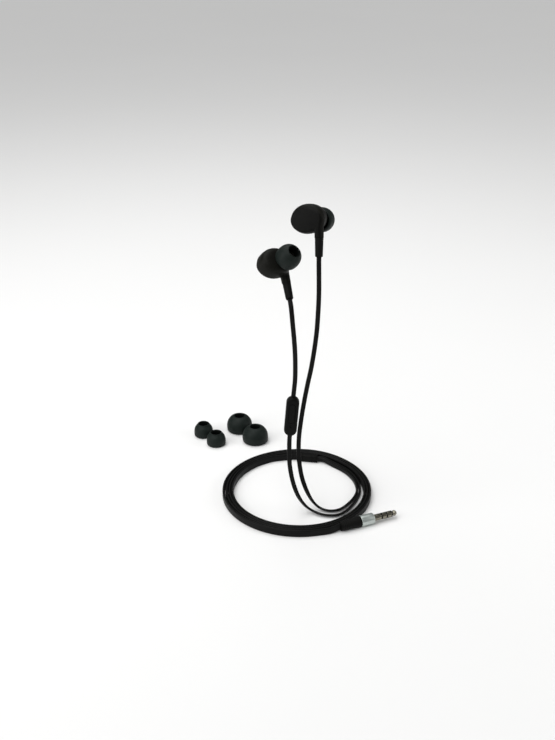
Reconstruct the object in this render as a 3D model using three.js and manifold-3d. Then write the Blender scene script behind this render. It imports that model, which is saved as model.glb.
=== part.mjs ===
// Wired in-ear earphones: two earbuds held up by their eartips, a flat cable that hangs from each,
// an in-line remote on the left one, a splitter, a round coil of the main cable with a 3.5 mm plug,
// and two pairs of spare eartips standing on the same surface as the coil.
//
// Millimetres, +Z up. The model is laid out in a table frame, whose origin is the coil's centre on
// the surface, with +Y away from the front. The exported group moves that frame so that the part's
// own origin is the mouth of the right earbud's eartip, which is what an ear holds.
import * as THREE from "three";
import { mergeVertices } from "three/addons/utils/BufferGeometryUtils.js";
import Module from "manifold-3d";

const wasm = await Module();
wasm.setup();

// ---------------------------------------------------------------- driving dimensions
const CLEAR = 0.06; // between pieces that touch
const SEGMENTS = 28; // round a lathed piece that shows
const INNER_SEGMENTS = 20; // round a piece inside a housing

// Earbud, in its own frame: +X towards the stem's side, +Y along the nozzle, +Z up the stem.
const OVAL_X = 8.8; // half the housing's width
const OVAL_Z = 7.3; // half its height
const OVAL_TILT = 9; // degrees, with the stem's side up
const WALL = 1.0;
const PARTING_Y = -2.2; // the plane where the rear cover meets the front shell
const FACE_Y = -4.7; // the rear cover's outer face
const DOME_Y = 4.8; // the front shell's dome
const STEM_X = 6.3; // the stem's axis
const STEM_R = 2.2;
const STEM_SPLIT_Z = -9.2; // where the rigid stem ends and the rubber sleeve starts
const STEM_END_Z = -18.3;
const SLEEVE_END_R = 1.9;
const CHANNEL_R = 1.25; // the stem's inside
const NOZZLE_X = 3.2;
const NOZZLE_Z = -0.6;
const NECK_R = 3.7;
const NECK_END_Y = 5.2;
const NOZZLE_R = 2.15;
const LIP_R = 2.45;
const NOZZLE_END_Y = 10.2;
const NOZZLE_BORE_R = 1.55;
const TIP_BASE_Y = 5.0; // where a fitted eartip's skirt starts
const DRIVER_R = 5.0;

// Eartips: outer radius and height of each size, and the core that grips the nozzle.
const TIP_BORE_R = 2.6;
const TIP_CORE_R = 3.4;
const TIP_SKIN = 0.65;
const TIPS = {
  small: { radius: 5.7, height: 8.0 },
  medium: { radius: 6.2, height: 9.0 },
  large: { radius: 7.7, height: 9.8 },
};

// Cable: flat leads to the earbuds, and a wider flat one below the splitter. Their free
// stretches are solid tubes as thick as the cable.
const LEAD_THICK = 1.3;
const MAIN_WIDTH = 3.9;
const LEAD_SIDES = 8;
const SLEEVE_BORE_R = 0.95;

// Coil of the main cable: turns of the lead on edge, side by side.
const COIL_CENTRE = [-0.2, 0.7];
const COIL_STRETCH = 1.035; // front to back against side to side
const COIL_FIRST_R = 36.1; // the innermost turn's middle
const TURN_PITCH = 1.38;
const COIL_TURNS = 3.5;
const COIL_HEIGHT = MAIN_WIDTH + 0.1;

// Remote, in its own frame: +Z along the cable, -Y out of the face with the button.
const REMOTE_LENGTH = 22.2;
const REMOTE_WIDTH = 6.7;
const REMOTE_DEPTH = 4.4;
const REMOTE_WALL = 0.8;
const BUTTON_LENGTH = 11.0;
const BUTTON_WIDTH = 3.4;
const BUTTON_Z = 2.2;
const BUTTON_GAP = 0.12;
const MICROPHONE_Z = -5.4;

// Splitter, in its own frame: +X towards the two earbud leads.
const SPLITTER_LENGTH = 12.0;
const SPLITTER_WIDTH = 3.9;
const SPLITTER_HEIGHT = 4.3;
const BRANCH_SPACING = 1.6; // between the two earbud leads

// Plug, in its own frame: +Y along the pin, starting at the rubber boot's cable end.
const BOOT_LENGTH = 11.7;
const BOOT_START_R = 2.6;
const BOOT_END_R = 2.95;
const COLLAR_R = 3.05;
const COLLAR_LENGTH = 7.7;
const PIN_R = 1.75;
const PIN_LENGTH = 14.0;
const PIN_CORE_R = 0.8;
const RING_GAP = 0.6; // the insulator's flange between two contacts

// ---------------------------------------------------------------- places, in the table frame
// Each earbud's frame: the end of its stem, the nozzle's direction and the way up the stem.
const RIGHT_BUD = {
  stemEnd: [8.8, -14, 144.0],
  nozzle: [0.43, 0.866, -0.254],
  up: [0.006, 0.278, 0.96],
};
const LEFT_BUD = {
  stemEnd: [-5.4, -18, 123.5],
  nozzle: [0.483, -0.54, 0.69],
  up: [-0.168, 0.716, 0.678],
};
const REMOTE = { middle: [-4.1, -18, 58.6], up: [0.076, 0, 0.997] };
const SPLITTER = { middle: [6.0, 36.2], heading: -10 };
const PLUG = { start: [21.5, -36.8], heading: 23.7 };
const SPARES = [
  { name: "spare_eartip_small_1", size: "small", at: [-56.4, 67.4] },
  { name: "spare_eartip_small_2", size: "small", at: [-48.2, 56.3] },
  { name: "spare_eartip_large_1", size: "large", at: [-34.7, 74.2] },
  { name: "spare_eartip_large_2", size: "large", at: [-24.8, 60.2] },
];

// The cables' routes where they aren't coiled, from the earbud down. The first point of each
// earbud's lead is inside its stem and is worked out from the earbud's place.
const RIGHT_ROUTE = [
  [8.9, -15.9, 134],
  [9.0, -16.1, 126],
  [8.8, -15.8, 116],
  [8.1, -15.4, 103],
  [5.9, -14.6, 85],
  [4.2, -14.3, 75.6],
  [2.5, -14.1, 65.4],
  [0.9, -14.0, 53.7],
  [-0.1, -14.0, 43.5],
  [-0.2, -14.0, 35.5],
  [0.3, -14.0, 27.7],
  [1.5, -14.1, 20.1],
  [3.1, -14.3, 14.4],
  [5.4, -14.8, 8.7],
  [7.8, -15.6, 4.8],
  [11.0, -16.7, 2.0],
  [14.3, -18.3, 1.3],
  [18.2, -19.1, 1.3],
];
const LEFT_UPPER_ROUTE = [
  [-4.4, -21.9, 117.5],
  [-4.0, -22.3, 113],
  [-3.4, -21.7, 106.5],
  [-2.7, -20.5, 97],
  [-2.4, -19.3, 87.4],
  [-2.5, -18.4, 79],
];
const LEFT_LOWER_ROUTE = [
  [-5.2, -18.0, 38],
  [-5.0, -18.0, 30],
  [-4.0, -18.0, 22.7],
  [-2.7, -18.1, 17],
  [-0.8, -18.3, 11.3],
  [1.2, -18.6, 7.5],
  [4.0, -19.0, 4.0],
  [7.6, -20.0, 1.8],
  [11.8, -22.3, 1.3],
  [16.5, -23.6, 1.3],
  [21.1, -22.9, 1.3],
];
// Where the two earbud leads lie on the surface inside the coil: angles, in degrees, and radii.
const BRANCH_ARC = [-38, -25, -12, 0, 18, 36, 54];
const BRANCH_ARC_R = {
  right: [28.6, 29.8, 31.1, 32.4, 33.0, 33.0, 33.0],
  left: [32.1, 32.4, 32.9, 34.0, 34.6, 34.6, 34.6],
};
const LEAD_Z = 1.3; // the middle of a lead that lies on the surface on its edge

// ---------------------------------------------------------------- solids and meshes
const group = new THREE.Group();

function solid(geometry) {
  const bare = new THREE.BufferGeometry();
  bare.setAttribute("position", geometry.getAttribute("position").clone());
  bare.setIndex(geometry.index);
  const merged = mergeVertices(bare, 1e-4);
  return new wasm.Manifold(
    new wasm.Mesh({
      numProp: 3,
      vertProperties: new Float32Array(merged.attributes.position.array),
      triVerts: new Uint32Array(merged.index.array),
    }),
  );
}

function geometryOf(made) {
  const mesh = made.getMesh();
  const geometry = new THREE.BufferGeometry();
  geometry.setAttribute("position", new THREE.BufferAttribute(mesh.vertProperties, 3));
  geometry.setIndex(new THREE.BufferAttribute(mesh.triVerts, 1));
  geometry.computeVertexNormals();
  return geometry;
}

const joined = (first, ...others) => others.reduce((all, one) => all.add(one), first);
const cut = (first, ...others) => others.reduce((all, one) => all.subtract(one), first);

// A profile of [radius, height] pairs turned about the Y axis. It starts and ends on the axis.
function turned(profile, segments = SEGMENTS) {
  return new THREE.LatheGeometry(
    profile.map(([r, y]) => new THREE.Vector2(r, y)),
    segments,
  );
}

// The same for a profile that closes on itself round a hole.
const ring = (profile, segments) => turned([...profile, profile[0]], segments);

function rod(radius, fromY, toY, segments = INNER_SEGMENTS) {
  const outline = [
    [0, fromY],
    [radius, fromY],
    [radius, toY],
    [0, toY],
  ];
  return turned(outline, segments);
}

// A rod along Z.
const post = (radius, fromZ, toZ, segments) =>
  rod(radius, fromZ, toZ, segments).rotateX(Math.PI / 2);

function box(x, y, z, width, depth, height) {
  return new THREE.BoxGeometry(width, depth, height).translate(x, y, z);
}

// A plate with round ends, length along Z, from one Y to the other, with its edges eased.
function stadium(width, length, fromY, toY, ease = 0) {
  const r = width / 2 - ease;
  const straight = length / 2 - width / 2;
  const outline = new THREE.Shape();
  outline.absarc(0, straight, r, 0, Math.PI, false);
  outline.absarc(0, -straight, r, Math.PI, 2 * Math.PI, false);
  outline.closePath();
  const plate = new THREE.ExtrudeGeometry(outline, {
    depth: toY - fromY - 2 * ease,
    bevelEnabled: ease > 0,
    bevelSize: ease,
    bevelThickness: ease,
    bevelSegments: 2,
    curveSegments: 8,
  });
  return plate.rotateX(Math.PI / 2).translate(0, toY - ease, 0);
}

function tube(points, radius = LEAD_THICK / 2) {
  const curve = new THREE.CatmullRomCurve3(
    points.map((p) => new THREE.Vector3(...p)),
    false,
    "centripetal",
  );
  const section = new THREE.Shape();
  section.absarc(0, 0, radius, 0, 2 * Math.PI, false);
  return new THREE.ExtrudeGeometry(section, {
    extrudePath: curve,
    steps: Math.max(4, Math.round(curve.getLength() / (2.4 * LEAD_THICK))),
    curveSegments: LEAD_SIDES / 2,
  });
}

const MATERIALS = {
  shell: new THREE.MeshStandardMaterial({ color: 0x121312, roughness: 0.55 }),
  rubber: new THREE.MeshStandardMaterial({ color: 0x0e0f0e, roughness: 0.7 }),
  silicone: new THREE.MeshStandardMaterial({ color: 0x1b1f1d, roughness: 0.6 }),
  lead: new THREE.MeshStandardMaterial({ color: 0x0d0d0c, roughness: 0.6 }),
  aluminium: new THREE.MeshStandardMaterial({ color: 0xb9c0bd, roughness: 0.35, metalness: 1 }),
  contact: new THREE.MeshStandardMaterial({ color: 0x8d8c7c, roughness: 0.25, metalness: 1 }),
  plastic: new THREE.MeshStandardMaterial({ color: 0x0b0b0b, roughness: 0.5 }),
  copper: new THREE.MeshStandardMaterial({ color: 0xb06a3a, roughness: 0.4, metalness: 1 }),
  steel: new THREE.MeshStandardMaterial({ color: 0x9a9c9e, roughness: 0.35, metalness: 1 }),
  film: new THREE.MeshStandardMaterial({ color: 0xc9c4a8, roughness: 0.4 }),
  board: new THREE.MeshStandardMaterial({ color: 0x14502f, roughness: 0.5 }),
};

function place(parent, name, geometry, material) {
  const mesh = new THREE.Mesh(geometry, MATERIALS[material]);
  mesh.name = name;
  parent.add(mesh);
  return mesh;
}

// ---------------------------------------------------------------- eartips
// The outline of an eartip from its skirt's rim, at height 0, over the dome and down the bore.
function eartip({ radius, height }, segments = SEGMENTS) {
  const outer = [
    [radius * 0.88, 0],
    [radius * 0.965, height * 0.07],
    [radius, height * 0.22],
    [radius, height * 0.38],
    [radius * 0.97, height * 0.54],
    [radius * 0.895, height * 0.7],
    [radius * 0.78, height * 0.83],
    [radius * 0.65, height * 0.925],
    [TIP_BORE_R + 1.0, height * 0.98],
    [TIP_BORE_R + 0.55, height],
  ];
  const bore = [
    [TIP_BORE_R, height - 0.8],
    [TIP_BORE_R, height * 0.14],
    [TIP_CORE_R, height * 0.14],
    [TIP_CORE_R, height * 0.66],
  ];
  const inside = [
    [radius * 0.88 - TIP_SKIN, height * 0.66],
    [radius * 0.965 - TIP_SKIN, height * 0.52],
    [radius - TIP_SKIN, height * 0.36],
    [radius - TIP_SKIN, height * 0.2],
    [radius * 0.965 - TIP_SKIN, height * 0.07],
    [radius * 0.88 - TIP_SKIN, 0],
  ];
  return ring([...outer, ...bore, ...inside], segments);
}

// ---------------------------------------------------------------- earbuds
const onNozzle = (geometry) => geometry.translate(NOZZLE_X, 0, NOZZLE_Z);
const onStem = (geometry) => geometry.translate(STEM_X, PARTING_Y, 0);

// A profile of [share of the oval, y] pairs, as wide as the oval less an inset.
function oval(profile, inset = 0) {
  return turned(profile, SEGMENTS)
    .scale(OVAL_X - inset, 1, OVAL_Z - inset)
    .rotateY(THREE.MathUtils.degToRad(-OVAL_TILT));
}

function rearCover() {
  const outside = oval([
    [0, FACE_Y],
    [0.6, FACE_Y + 0.1],
    [0.84, FACE_Y + 0.45],
    [0.955, FACE_Y + 1.15],
    [1, FACE_Y + 2.0],
    [1, PARTING_Y - CLEAR],
    [0, PARTING_Y - CLEAR],
  ]);
  const hollow = oval(
    [
      [0, FACE_Y + WALL],
      [0.84, FACE_Y + WALL + 0.2],
      [1, FACE_Y + WALL + 0.75],
      [1, PARTING_Y + 1],
      [0, PARTING_Y + 1],
    ],
    WALL,
  );
  const stem = onStem(post(STEM_R, STEM_SPLIT_Z, 0));
  const half = box(0, PARTING_Y - CLEAR - 10, 0, 60, 20, 60);
  const channel = onStem(post(CHANNEL_R, STEM_SPLIT_Z - 1, -5));
  return geometryOf(
    cut(
      joined(solid(outside), solid(stem).intersect(solid(half))),
      solid(hollow),
      solid(channel),
    ),
  );
}

function frontShell() {
  const outside = oval([
    [0, PARTING_Y],
    [1, PARTING_Y],
    [1, PARTING_Y + 2.8],
    [0.985, PARTING_Y + 4.1],
    [0.93, PARTING_Y + 5.2],
    [0.82, PARTING_Y + 6.1],
    [0.64, PARTING_Y + 6.7],
    [0, DOME_Y],
  ]);
  const hollow = oval(
    [
      [0, PARTING_Y - 1],
      [1, PARTING_Y - 1],
      [1, PARTING_Y + 2.8],
      [0.97, PARTING_Y + 4.1],
      [0.88, PARTING_Y + 5.0],
      [0.7, PARTING_Y + 5.6],
      [0, DOME_Y - WALL],
    ],
    WALL,
  );
  const nozzle = turned([
    [0, 2],
    [NECK_R + 0.5, 2],
    [NECK_R + 0.3, DOME_Y],
    [NECK_R, NECK_END_Y],
    [NECK_R - 0.4, NECK_END_Y + 0.3],
    [NOZZLE_R, NECK_END_Y + 0.3],
    [NOZZLE_R, NOZZLE_END_Y - 1.2],
    [LIP_R, NOZZLE_END_Y - 0.9],
    [LIP_R, NOZZLE_END_Y - 0.4],
    [NOZZLE_R, NOZZLE_END_Y],
    [0, NOZZLE_END_Y],
  ]);
  const bore = rod(NOZZLE_BORE_R, 1, NOZZLE_END_Y + 1);
  const stem = onStem(post(STEM_R, STEM_SPLIT_Z, 0));
  const half = box(0, PARTING_Y + 10, 0, 60, 20, 60);
  const channel = onStem(post(CHANNEL_R, STEM_SPLIT_Z - 1, -5));
  return geometryOf(
    cut(
      joined(
        solid(outside),
        solid(onNozzle(nozzle)),
        solid(stem).intersect(solid(half)),
      ),
      solid(hollow),
      solid(onNozzle(bore)),
      solid(channel),
    ),
  );
}

// A rubber band inside the joint between the cover and the shell.
function sealRing() {
  const outer = WALL + CLEAR;
  const band = (inset, reach) =>
    solid(
      oval(
        [
          [0, PARTING_Y - reach],
          [1, PARTING_Y - reach],
          [1, PARTING_Y + reach],
          [0, PARTING_Y + reach],
        ],
        inset,
      ),
    );
  return geometryOf(cut(band(outer, 0.6), band(outer + 0.5, 1)));
}

function addEarbud(side, at) {
  const bud = new THREE.Group();
  const nozzle = new THREE.Vector3(...at.nozzle).normalize();
  const across = new THREE.Vector3(...at.up).cross(nozzle).negate().normalize();
  const up = across.clone().cross(nozzle);
  const turn = new THREE.Matrix4().makeBasis(across, nozzle, up);
  const mirror = side === "left" ? -1 : 1;
  bud.quaternion.setFromRotationMatrix(turn);
  bud.scale.x = mirror;
  const stemEnd = new THREE.Vector3(mirror * STEM_X, PARTING_Y, STEM_END_Z);
  bud.position.set(...at.stemEnd).sub(stemEnd.applyMatrix4(turn));
  group.add(bud);

  const add = (name, geometry, material) => place(bud, `${side}_${name}`, geometry, material);
  add("rear_cover", rearCover(), "shell");
  add("front_shell", frontShell(), "shell");
  add("seal_ring", sealRing(), "rubber");
  add(
    "nozzle_screen",
    onNozzle(rod(NOZZLE_BORE_R - CLEAR, NOZZLE_END_Y - 0.9, NOZZLE_END_Y - 0.6)),
    "steel",
  );
  const frame = [
    [2.9, -1.0],
    [DRIVER_R, -0.3],
    [DRIVER_R, 1.7],
    [DRIVER_R - 0.5, 1.7],
    [DRIVER_R - 0.5, 0.2],
    [2.9, -0.4],
  ];
  add("driver_frame", ring(frame, INNER_SEGMENTS), "plastic");
  const magnet = [
    [0, -1.7],
    [2.8, -1.7],
    [2.8, 0.3],
    [2.35, 0.3],
    [2.35, -0.9],
    [1.85, -0.9],
    [1.85, 0.3],
    [0, 0.3],
  ];
  add("driver_magnet", turned(magnet, INNER_SEGMENTS), "steel");
  const coil = [
    [1.98, -0.6],
    [2.22, -0.6],
    [2.22, 0.8],
    [1.98, 0.8],
  ];
  add("driver_voice_coil", ring(coil, INNER_SEGMENTS), "copper");
  const diaphragm = [
    [0, 1.7],
    [1.2, 1.5],
    [2.1, 0.88],
    [3.3, 1.35],
    [DRIVER_R - 0.56, 1.0],
    [DRIVER_R - 0.56, 1.15],
    [3.3, 1.5],
    [2.1, 1.03],
    [1.2, 1.65],
    [0, 1.85],
  ];
  add("driver_diaphragm", turned(diaphragm, INNER_SEGMENTS), "film");
  add("cable_crimp", onStem(post(CHANNEL_R - CLEAR, STEM_SPLIT_Z + 0.4, -6.6)), "copper");
  const sleeve = [
    [SLEEVE_BORE_R, STEM_SPLIT_Z - CLEAR],
    [SLEEVE_BORE_R, STEM_END_Z],
    [SLEEVE_END_R - 0.35, STEM_END_Z],
    [SLEEVE_END_R, STEM_END_Z + 0.6],
    [STEM_R - 0.08, STEM_SPLIT_Z - CLEAR],
  ];
  add("stem_sleeve", onStem(ring(sleeve).rotateX(Math.PI / 2)), "rubber");
  add("eartip", onNozzle(eartip(TIPS.medium).translate(0, TIP_BASE_Y, 0)), "silicone");

  bud.updateMatrixWorld(true);
  const inRow = (x, y, z) => new THREE.Vector3(x, y, z).applyMatrix4(bud.matrixWorld);
  const mouth = inRow(NOZZLE_X, TIP_BASE_Y + TIPS.medium.height, NOZZLE_Z);
  const leadStart = [STEM_SPLIT_Z - 0.2, STEM_END_Z, STEM_END_Z - 3].map((z) =>
    inRow(STEM_X, PARTING_Y, z).toArray(),
  );
  return { mouth, leadStart };
}

// ---------------------------------------------------------------- remote
function addRemote() {
  const remote = new THREE.Group();
  const along = new THREE.Vector3(...REMOTE.up).normalize();
  remote.quaternion.setFromUnitVectors(new THREE.Vector3(0, 0, 1), along);
  remote.position.set(...REMOTE.middle);
  group.add(remote);

  const half = REMOTE_DEPTH / 2;
  const inside = (fromY, toY) =>
    solid(stadium(REMOTE_WIDTH - 2 * REMOTE_WALL, REMOTE_LENGTH - 2 * REMOTE_WALL, fromY, toY));
  const leadHole = solid(post(SLEEVE_BORE_R, -REMOTE_LENGTH, REMOTE_LENGTH));
  const outside = () => solid(stadium(REMOTE_WIDTH, REMOTE_LENGTH, -half, half, 0.7));
  const slab = (fromY, toY) => solid(box(0, (fromY + toY) / 2, 0, 20, toY - fromY, 60));

  const buttonHole = stadium(BUTTON_WIDTH, BUTTON_LENGTH, -half - 1, 0).translate(0, 0, BUTTON_Z);
  const soundHole = rod(0.4, -half - 1, 0, 12).translate(0, 0, MICROPHONE_Z);
  const front = cut(
    outside().intersect(slab(-half - 1, -CLEAR / 2)),
    inside(-half + REMOTE_WALL, 1),
    leadHole,
    solid(buttonHole),
    solid(soundHole),
  );
  place(remote, "remote_front_shell", geometryOf(front), "shell");
  const back = cut(
    outside().intersect(slab(CLEAR / 2, half + 1)),
    inside(-1, half - REMOTE_WALL),
    leadHole,
  );
  place(remote, "remote_back_shell", geometryOf(back), "shell");

  // The button stands out of the face a little, with a flange behind the face that keeps it in.
  const cap = stadium(
    BUTTON_WIDTH - 2 * BUTTON_GAP,
    BUTTON_LENGTH - 2 * BUTTON_GAP,
    -half - 0.3,
    -half + 0.95,
    0.15,
  );
  const flange = stadium(BUTTON_WIDTH + 1, BUTTON_LENGTH + 1, -half + 0.86, -half + 1.15);
  const button = geometryOf(joined(solid(cap), solid(flange))).translate(0, 0, BUTTON_Z);
  place(remote, "remote_button", button, "rubber");
  place(remote, "remote_circuit_board", box(0, 0.6, 0, 4.2, 0.5, 17), "board");
  place(remote, "remote_switch", rod(1.4, -0.7, 0.3, 12).translate(0, 0, BUTTON_Z), "steel");
  place(remote, "remote_microphone", box(0, -0.25, MICROPHONE_Z - 0.7, 2.4, 1.05, 2.6), "steel");

  remote.updateMatrixWorld(true);
  const onCable = (z) => new THREE.Vector3(0, 0, z).applyMatrix4(remote.matrixWorld).toArray();
  const inner = REMOTE_LENGTH / 2 - 1.6;
  return {
    top: [onCable(REMOTE_LENGTH / 2 + 2.5), onCable(inner)],
    bottom: [onCable(-inner), onCable(-REMOTE_LENGTH / 2 - 2.5)],
  };
}

// ---------------------------------------------------------------- splitter
function addSplitter() {
  const splitter = new THREE.Group();
  splitter.rotation.z = THREE.MathUtils.degToRad(SPLITTER.heading);
  splitter.position.set(...SPLITTER.middle, SPLITTER_HEIGHT / 2);
  group.add(splitter);
  const along = (geometry) => geometry.rotateY(Math.PI / 2);
  const body = stadium(SPLITTER_WIDTH, SPLITTER_LENGTH, 0, SPLITTER_HEIGHT, 0.6)
    .translate(0, -SPLITTER_HEIGHT / 2, 0)
    .rotateX(-Math.PI / 2)
    .rotateZ(Math.PI / 2);
  const ends = box(0, 0, 0, SPLITTER_LENGTH - 1.6, 20, 20);
  const socket = (y, fromX, toX) =>
    solid(along(post(LEAD_THICK / 2 + 0.18, fromX, toX, 12)).translate(0, y, 0));
  const made = cut(
    solid(body).intersect(solid(ends)),
    socket(0, -SPLITTER_LENGTH, -2),
    socket(BRANCH_SPACING / 2, 2, SPLITTER_LENGTH),
    socket(-BRANCH_SPACING / 2, 2, SPLITTER_LENGTH),
  );
  place(splitter, "splitter_body", geometryOf(made), "rubber");

  splitter.updateMatrixWorld(true);
  const inRow = (x, y) =>
    new THREE.Vector3(x, y, 0).applyMatrix4(splitter.matrixWorld).toArray();
  const reach = SPLITTER_LENGTH / 2;
  const branch = (y) => [inRow(reach + 3, y), inRow(reach, y), inRow(2.6, y)];
  return {
    left: branch(BRANCH_SPACING / 2),
    right: branch(-BRANCH_SPACING / 2),
    main: [inRow(-2.6, 0), inRow(-reach - 1.5, 0)],
  };
}

// ---------------------------------------------------------------- plug
function addPlug() {
  const plug = new THREE.Group();
  plug.rotation.z = THREE.MathUtils.degToRad(PLUG.heading - 90);
  plug.position.set(...PLUG.start, COLLAR_R);
  group.add(plug);

  const boot = [
    [SLEEVE_BORE_R, 0],
    [BOOT_START_R - 0.3, 0],
    [BOOT_START_R, 0.4],
    [BOOT_END_R, BOOT_LENGTH - 0.3],
    [BOOT_END_R, BOOT_LENGTH],
    [SLEEVE_BORE_R, BOOT_LENGTH],
  ];
  place(plug, "plug_boot", ring(boot), "rubber");
  const collarStart = BOOT_LENGTH + CLEAR;
  const collarEnd = collarStart + COLLAR_LENGTH;
  const collar = [
    [2.15, collarStart],
    [COLLAR_R - 0.15, collarStart],
    [COLLAR_R, collarStart + 0.15],
    [COLLAR_R, collarEnd - 0.35],
    [COLLAR_R - 0.35, collarEnd],
    [2.15, collarEnd],
  ];
  place(plug, "plug_collar", ring(collar), "aluminium");

  // The moulding fills the collar and holds the contacts' tails.
  const moulding = [
    [PIN_CORE_R + 0.06, collarStart + 2],
    [2.1, collarStart + 2],
    [2.1, collarEnd - 0.1],
    [PIN_CORE_R + 0.06, collarEnd - 0.1],
  ];
  place(plug, "plug_moulding", ring(moulding, INNER_SEGMENTS), "plastic");

  // Four contacts threaded on one insulating core, whose flanges keep them apart.
  const pinStart = collarEnd;
  const edges = [4.4, 7.4, 10.4].map((y) => pinStart + y);
  const core = [
    [0, collarStart + 2.2],
    [PIN_CORE_R, collarStart + 2.2],
    ...edges.flatMap((y) => [
      [PIN_CORE_R, y],
      [PIN_R - 0.06, y],
      [PIN_R - 0.06, y + RING_GAP],
      [PIN_CORE_R, y + RING_GAP],
    ]),
    [PIN_CORE_R, pinStart + PIN_LENGTH - 2.4],
    [0, pinStart + PIN_LENGTH - 2.4],
  ];
  place(plug, "plug_insulator", turned(core, INNER_SEGMENTS), "plastic");
  const bored = PIN_CORE_R + 0.05;
  const contact = (name, fromY, toY) => {
    const profile = [
      [bored, fromY],
      [PIN_R, fromY],
      [PIN_R, toY],
      [bored, toY],
    ];
    place(plug, name, ring(profile, INNER_SEGMENTS), "contact");
  };
  contact("plug_contact_sleeve", pinStart, edges[0] - 0.04);
  contact("plug_contact_ring_2", edges[0] + RING_GAP + 0.04, edges[1] - 0.04);
  contact("plug_contact_ring_1", edges[1] + RING_GAP + 0.04, edges[2] - 0.04);
  const tipStart = edges[2] + RING_GAP + 0.04;
  const tipEnd = pinStart + PIN_LENGTH;
  const tip = [
    [bored, tipStart],
    [PIN_R - 0.25, tipStart],
    [PIN_R - 0.55, tipStart + 0.55],
    [PIN_R, tipStart + 1.35],
    [PIN_R - 0.1, tipStart + 1.8],
    [PIN_R - 0.75, tipEnd - 0.3],
    [0.55, tipEnd],
    [0, tipEnd],
    [0, tipEnd - 2.3],
    [bored, tipEnd - 2.3],
  ];
  place(plug, "plug_contact_tip", ring(tip, INNER_SEGMENTS), "contact");

  plug.updateMatrixWorld(true);
  const onAxis = (y) => new THREE.Vector3(0, y, 0).applyMatrix4(plug.matrixWorld).toArray();
  return { tail: [onAxis(-4), onAxis(BOOT_LENGTH - 0.5)] };
}

// ---------------------------------------------------------------- cables
const onCircle = (degrees, radius) => {
  const angle = THREE.MathUtils.degToRad(degrees);
  const x = COIL_CENTRE[0] + radius * Math.cos(angle);
  const y = COIL_CENTRE[1] + radius * COIL_STRETCH * Math.sin(angle);
  return [x, y, LEAD_Z];
};

function addCables(left, right, remote, splitter, plug) {
  const arc = (side) => BRANCH_ARC.map((degrees, i) => onCircle(degrees, BRANCH_ARC_R[side][i]));
  const lead = (name, points) => place(group, name, tube(points), "lead");
  lead("right_cable", [...right.leadStart, ...RIGHT_ROUTE, ...arc("right"), ...splitter.right]);
  lead("left_cable_upper", [...left.leadStart, ...LEFT_UPPER_ROUTE, ...remote.top]);
  lead("left_cable_lower", [
    ...remote.bottom,
    ...LEFT_LOWER_ROUTE,
    ...arc("left"),
    ...splitter.left,
  ]);

  // The coil is one plain ring of the turns' outer shape, notched where the plug's boot lies.
  const inner = COIL_FIRST_R - LEAD_THICK / 2 - 0.05;
  const outer = COIL_FIRST_R + COIL_TURNS * TURN_PITCH + LEAD_THICK / 2 + 0.05;
  const turns = ring(
    [
      [inner, 0],
      [outer, 0],
      [outer, COIL_HEIGHT],
      [inner, COIL_HEIGHT],
    ],
    72,
  )
    .rotateX(Math.PI / 2)
    .scale(1, COIL_STRETCH, 1)
    .translate(...COIL_CENTRE, 0);
  const boot = rod(COLLAR_R + 0.3, -14, 40)
    .rotateZ(THREE.MathUtils.degToRad(PLUG.heading - 90))
    .translate(...PLUG.start, COLLAR_R);
  const beside = ring(
    [
      [inner - 9, -1],
      [inner + 2.1, -1],
      [inner + 2.1, COIL_HEIGHT + 2],
      [inner - 9, COIL_HEIGHT + 2],
    ],
    72,
  )
    .rotateX(Math.PI / 2)
    .scale(1, COIL_STRETCH, 1)
    .translate(...COIL_CENTRE, 0);
  const sector = box(4, 30, 0, 41, 40, 40);
  const space = solid(beside).intersect(solid(sector));
  place(group, "main_cable_coil", geometryOf(cut(solid(turns), solid(boot), space)), "lead");
  lead("main_cable_start", [...splitter.main, onCircle(104, inner - 0.2)]);
  lead("main_cable_end", plug.tail);
}

// ---------------------------------------------------------------- assembly
const right = addEarbud("right", RIGHT_BUD);
const left = addEarbud("left", LEFT_BUD);
const remote = addRemote();
const splitter = addSplitter();
const plug = addPlug();
addCables(left, right, remote, splitter, plug);
for (const { name, size, at } of SPARES) {
  place(group, name, eartip(TIPS[size]).rotateX(Math.PI / 2).translate(...at, 0), "silicone");
}
group.position.copy(right.mouth).negate();

export default group;
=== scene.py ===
"""Looks of a pair of wired in-ear earphones: two earbuds on a flat cable with a remote, a splitter,
a coil of cable ending in a 3.5 mm plug, and four spare eartips.

Sizes are in millimetres, and MM turns them into metres. Each piece is shaped in axes of its own: an
earbud's face and the remote's button look along -Y and their cables hang along -Z, the splitter lies
along X, and the eartips and the plug are turned about Y. The pieces are then laid out on a table whose
origin is the middle of the coil. The model's own origin is the mouth of the right earbud's eartip."""

import math

import bpy
import numpy as np
from mathutils import Matrix, Vector


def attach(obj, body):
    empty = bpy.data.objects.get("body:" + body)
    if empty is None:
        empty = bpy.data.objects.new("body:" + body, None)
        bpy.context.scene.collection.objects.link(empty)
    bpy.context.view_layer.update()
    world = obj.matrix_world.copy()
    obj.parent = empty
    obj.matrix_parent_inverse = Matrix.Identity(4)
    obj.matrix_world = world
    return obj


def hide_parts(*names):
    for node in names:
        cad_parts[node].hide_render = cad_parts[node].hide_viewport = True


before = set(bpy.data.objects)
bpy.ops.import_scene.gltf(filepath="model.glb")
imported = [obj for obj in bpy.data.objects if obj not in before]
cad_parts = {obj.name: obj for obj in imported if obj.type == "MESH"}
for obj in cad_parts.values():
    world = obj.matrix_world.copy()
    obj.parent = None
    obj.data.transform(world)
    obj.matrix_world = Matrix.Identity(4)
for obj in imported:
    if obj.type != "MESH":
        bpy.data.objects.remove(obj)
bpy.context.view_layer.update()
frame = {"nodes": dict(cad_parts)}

MM = 0.001

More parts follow.
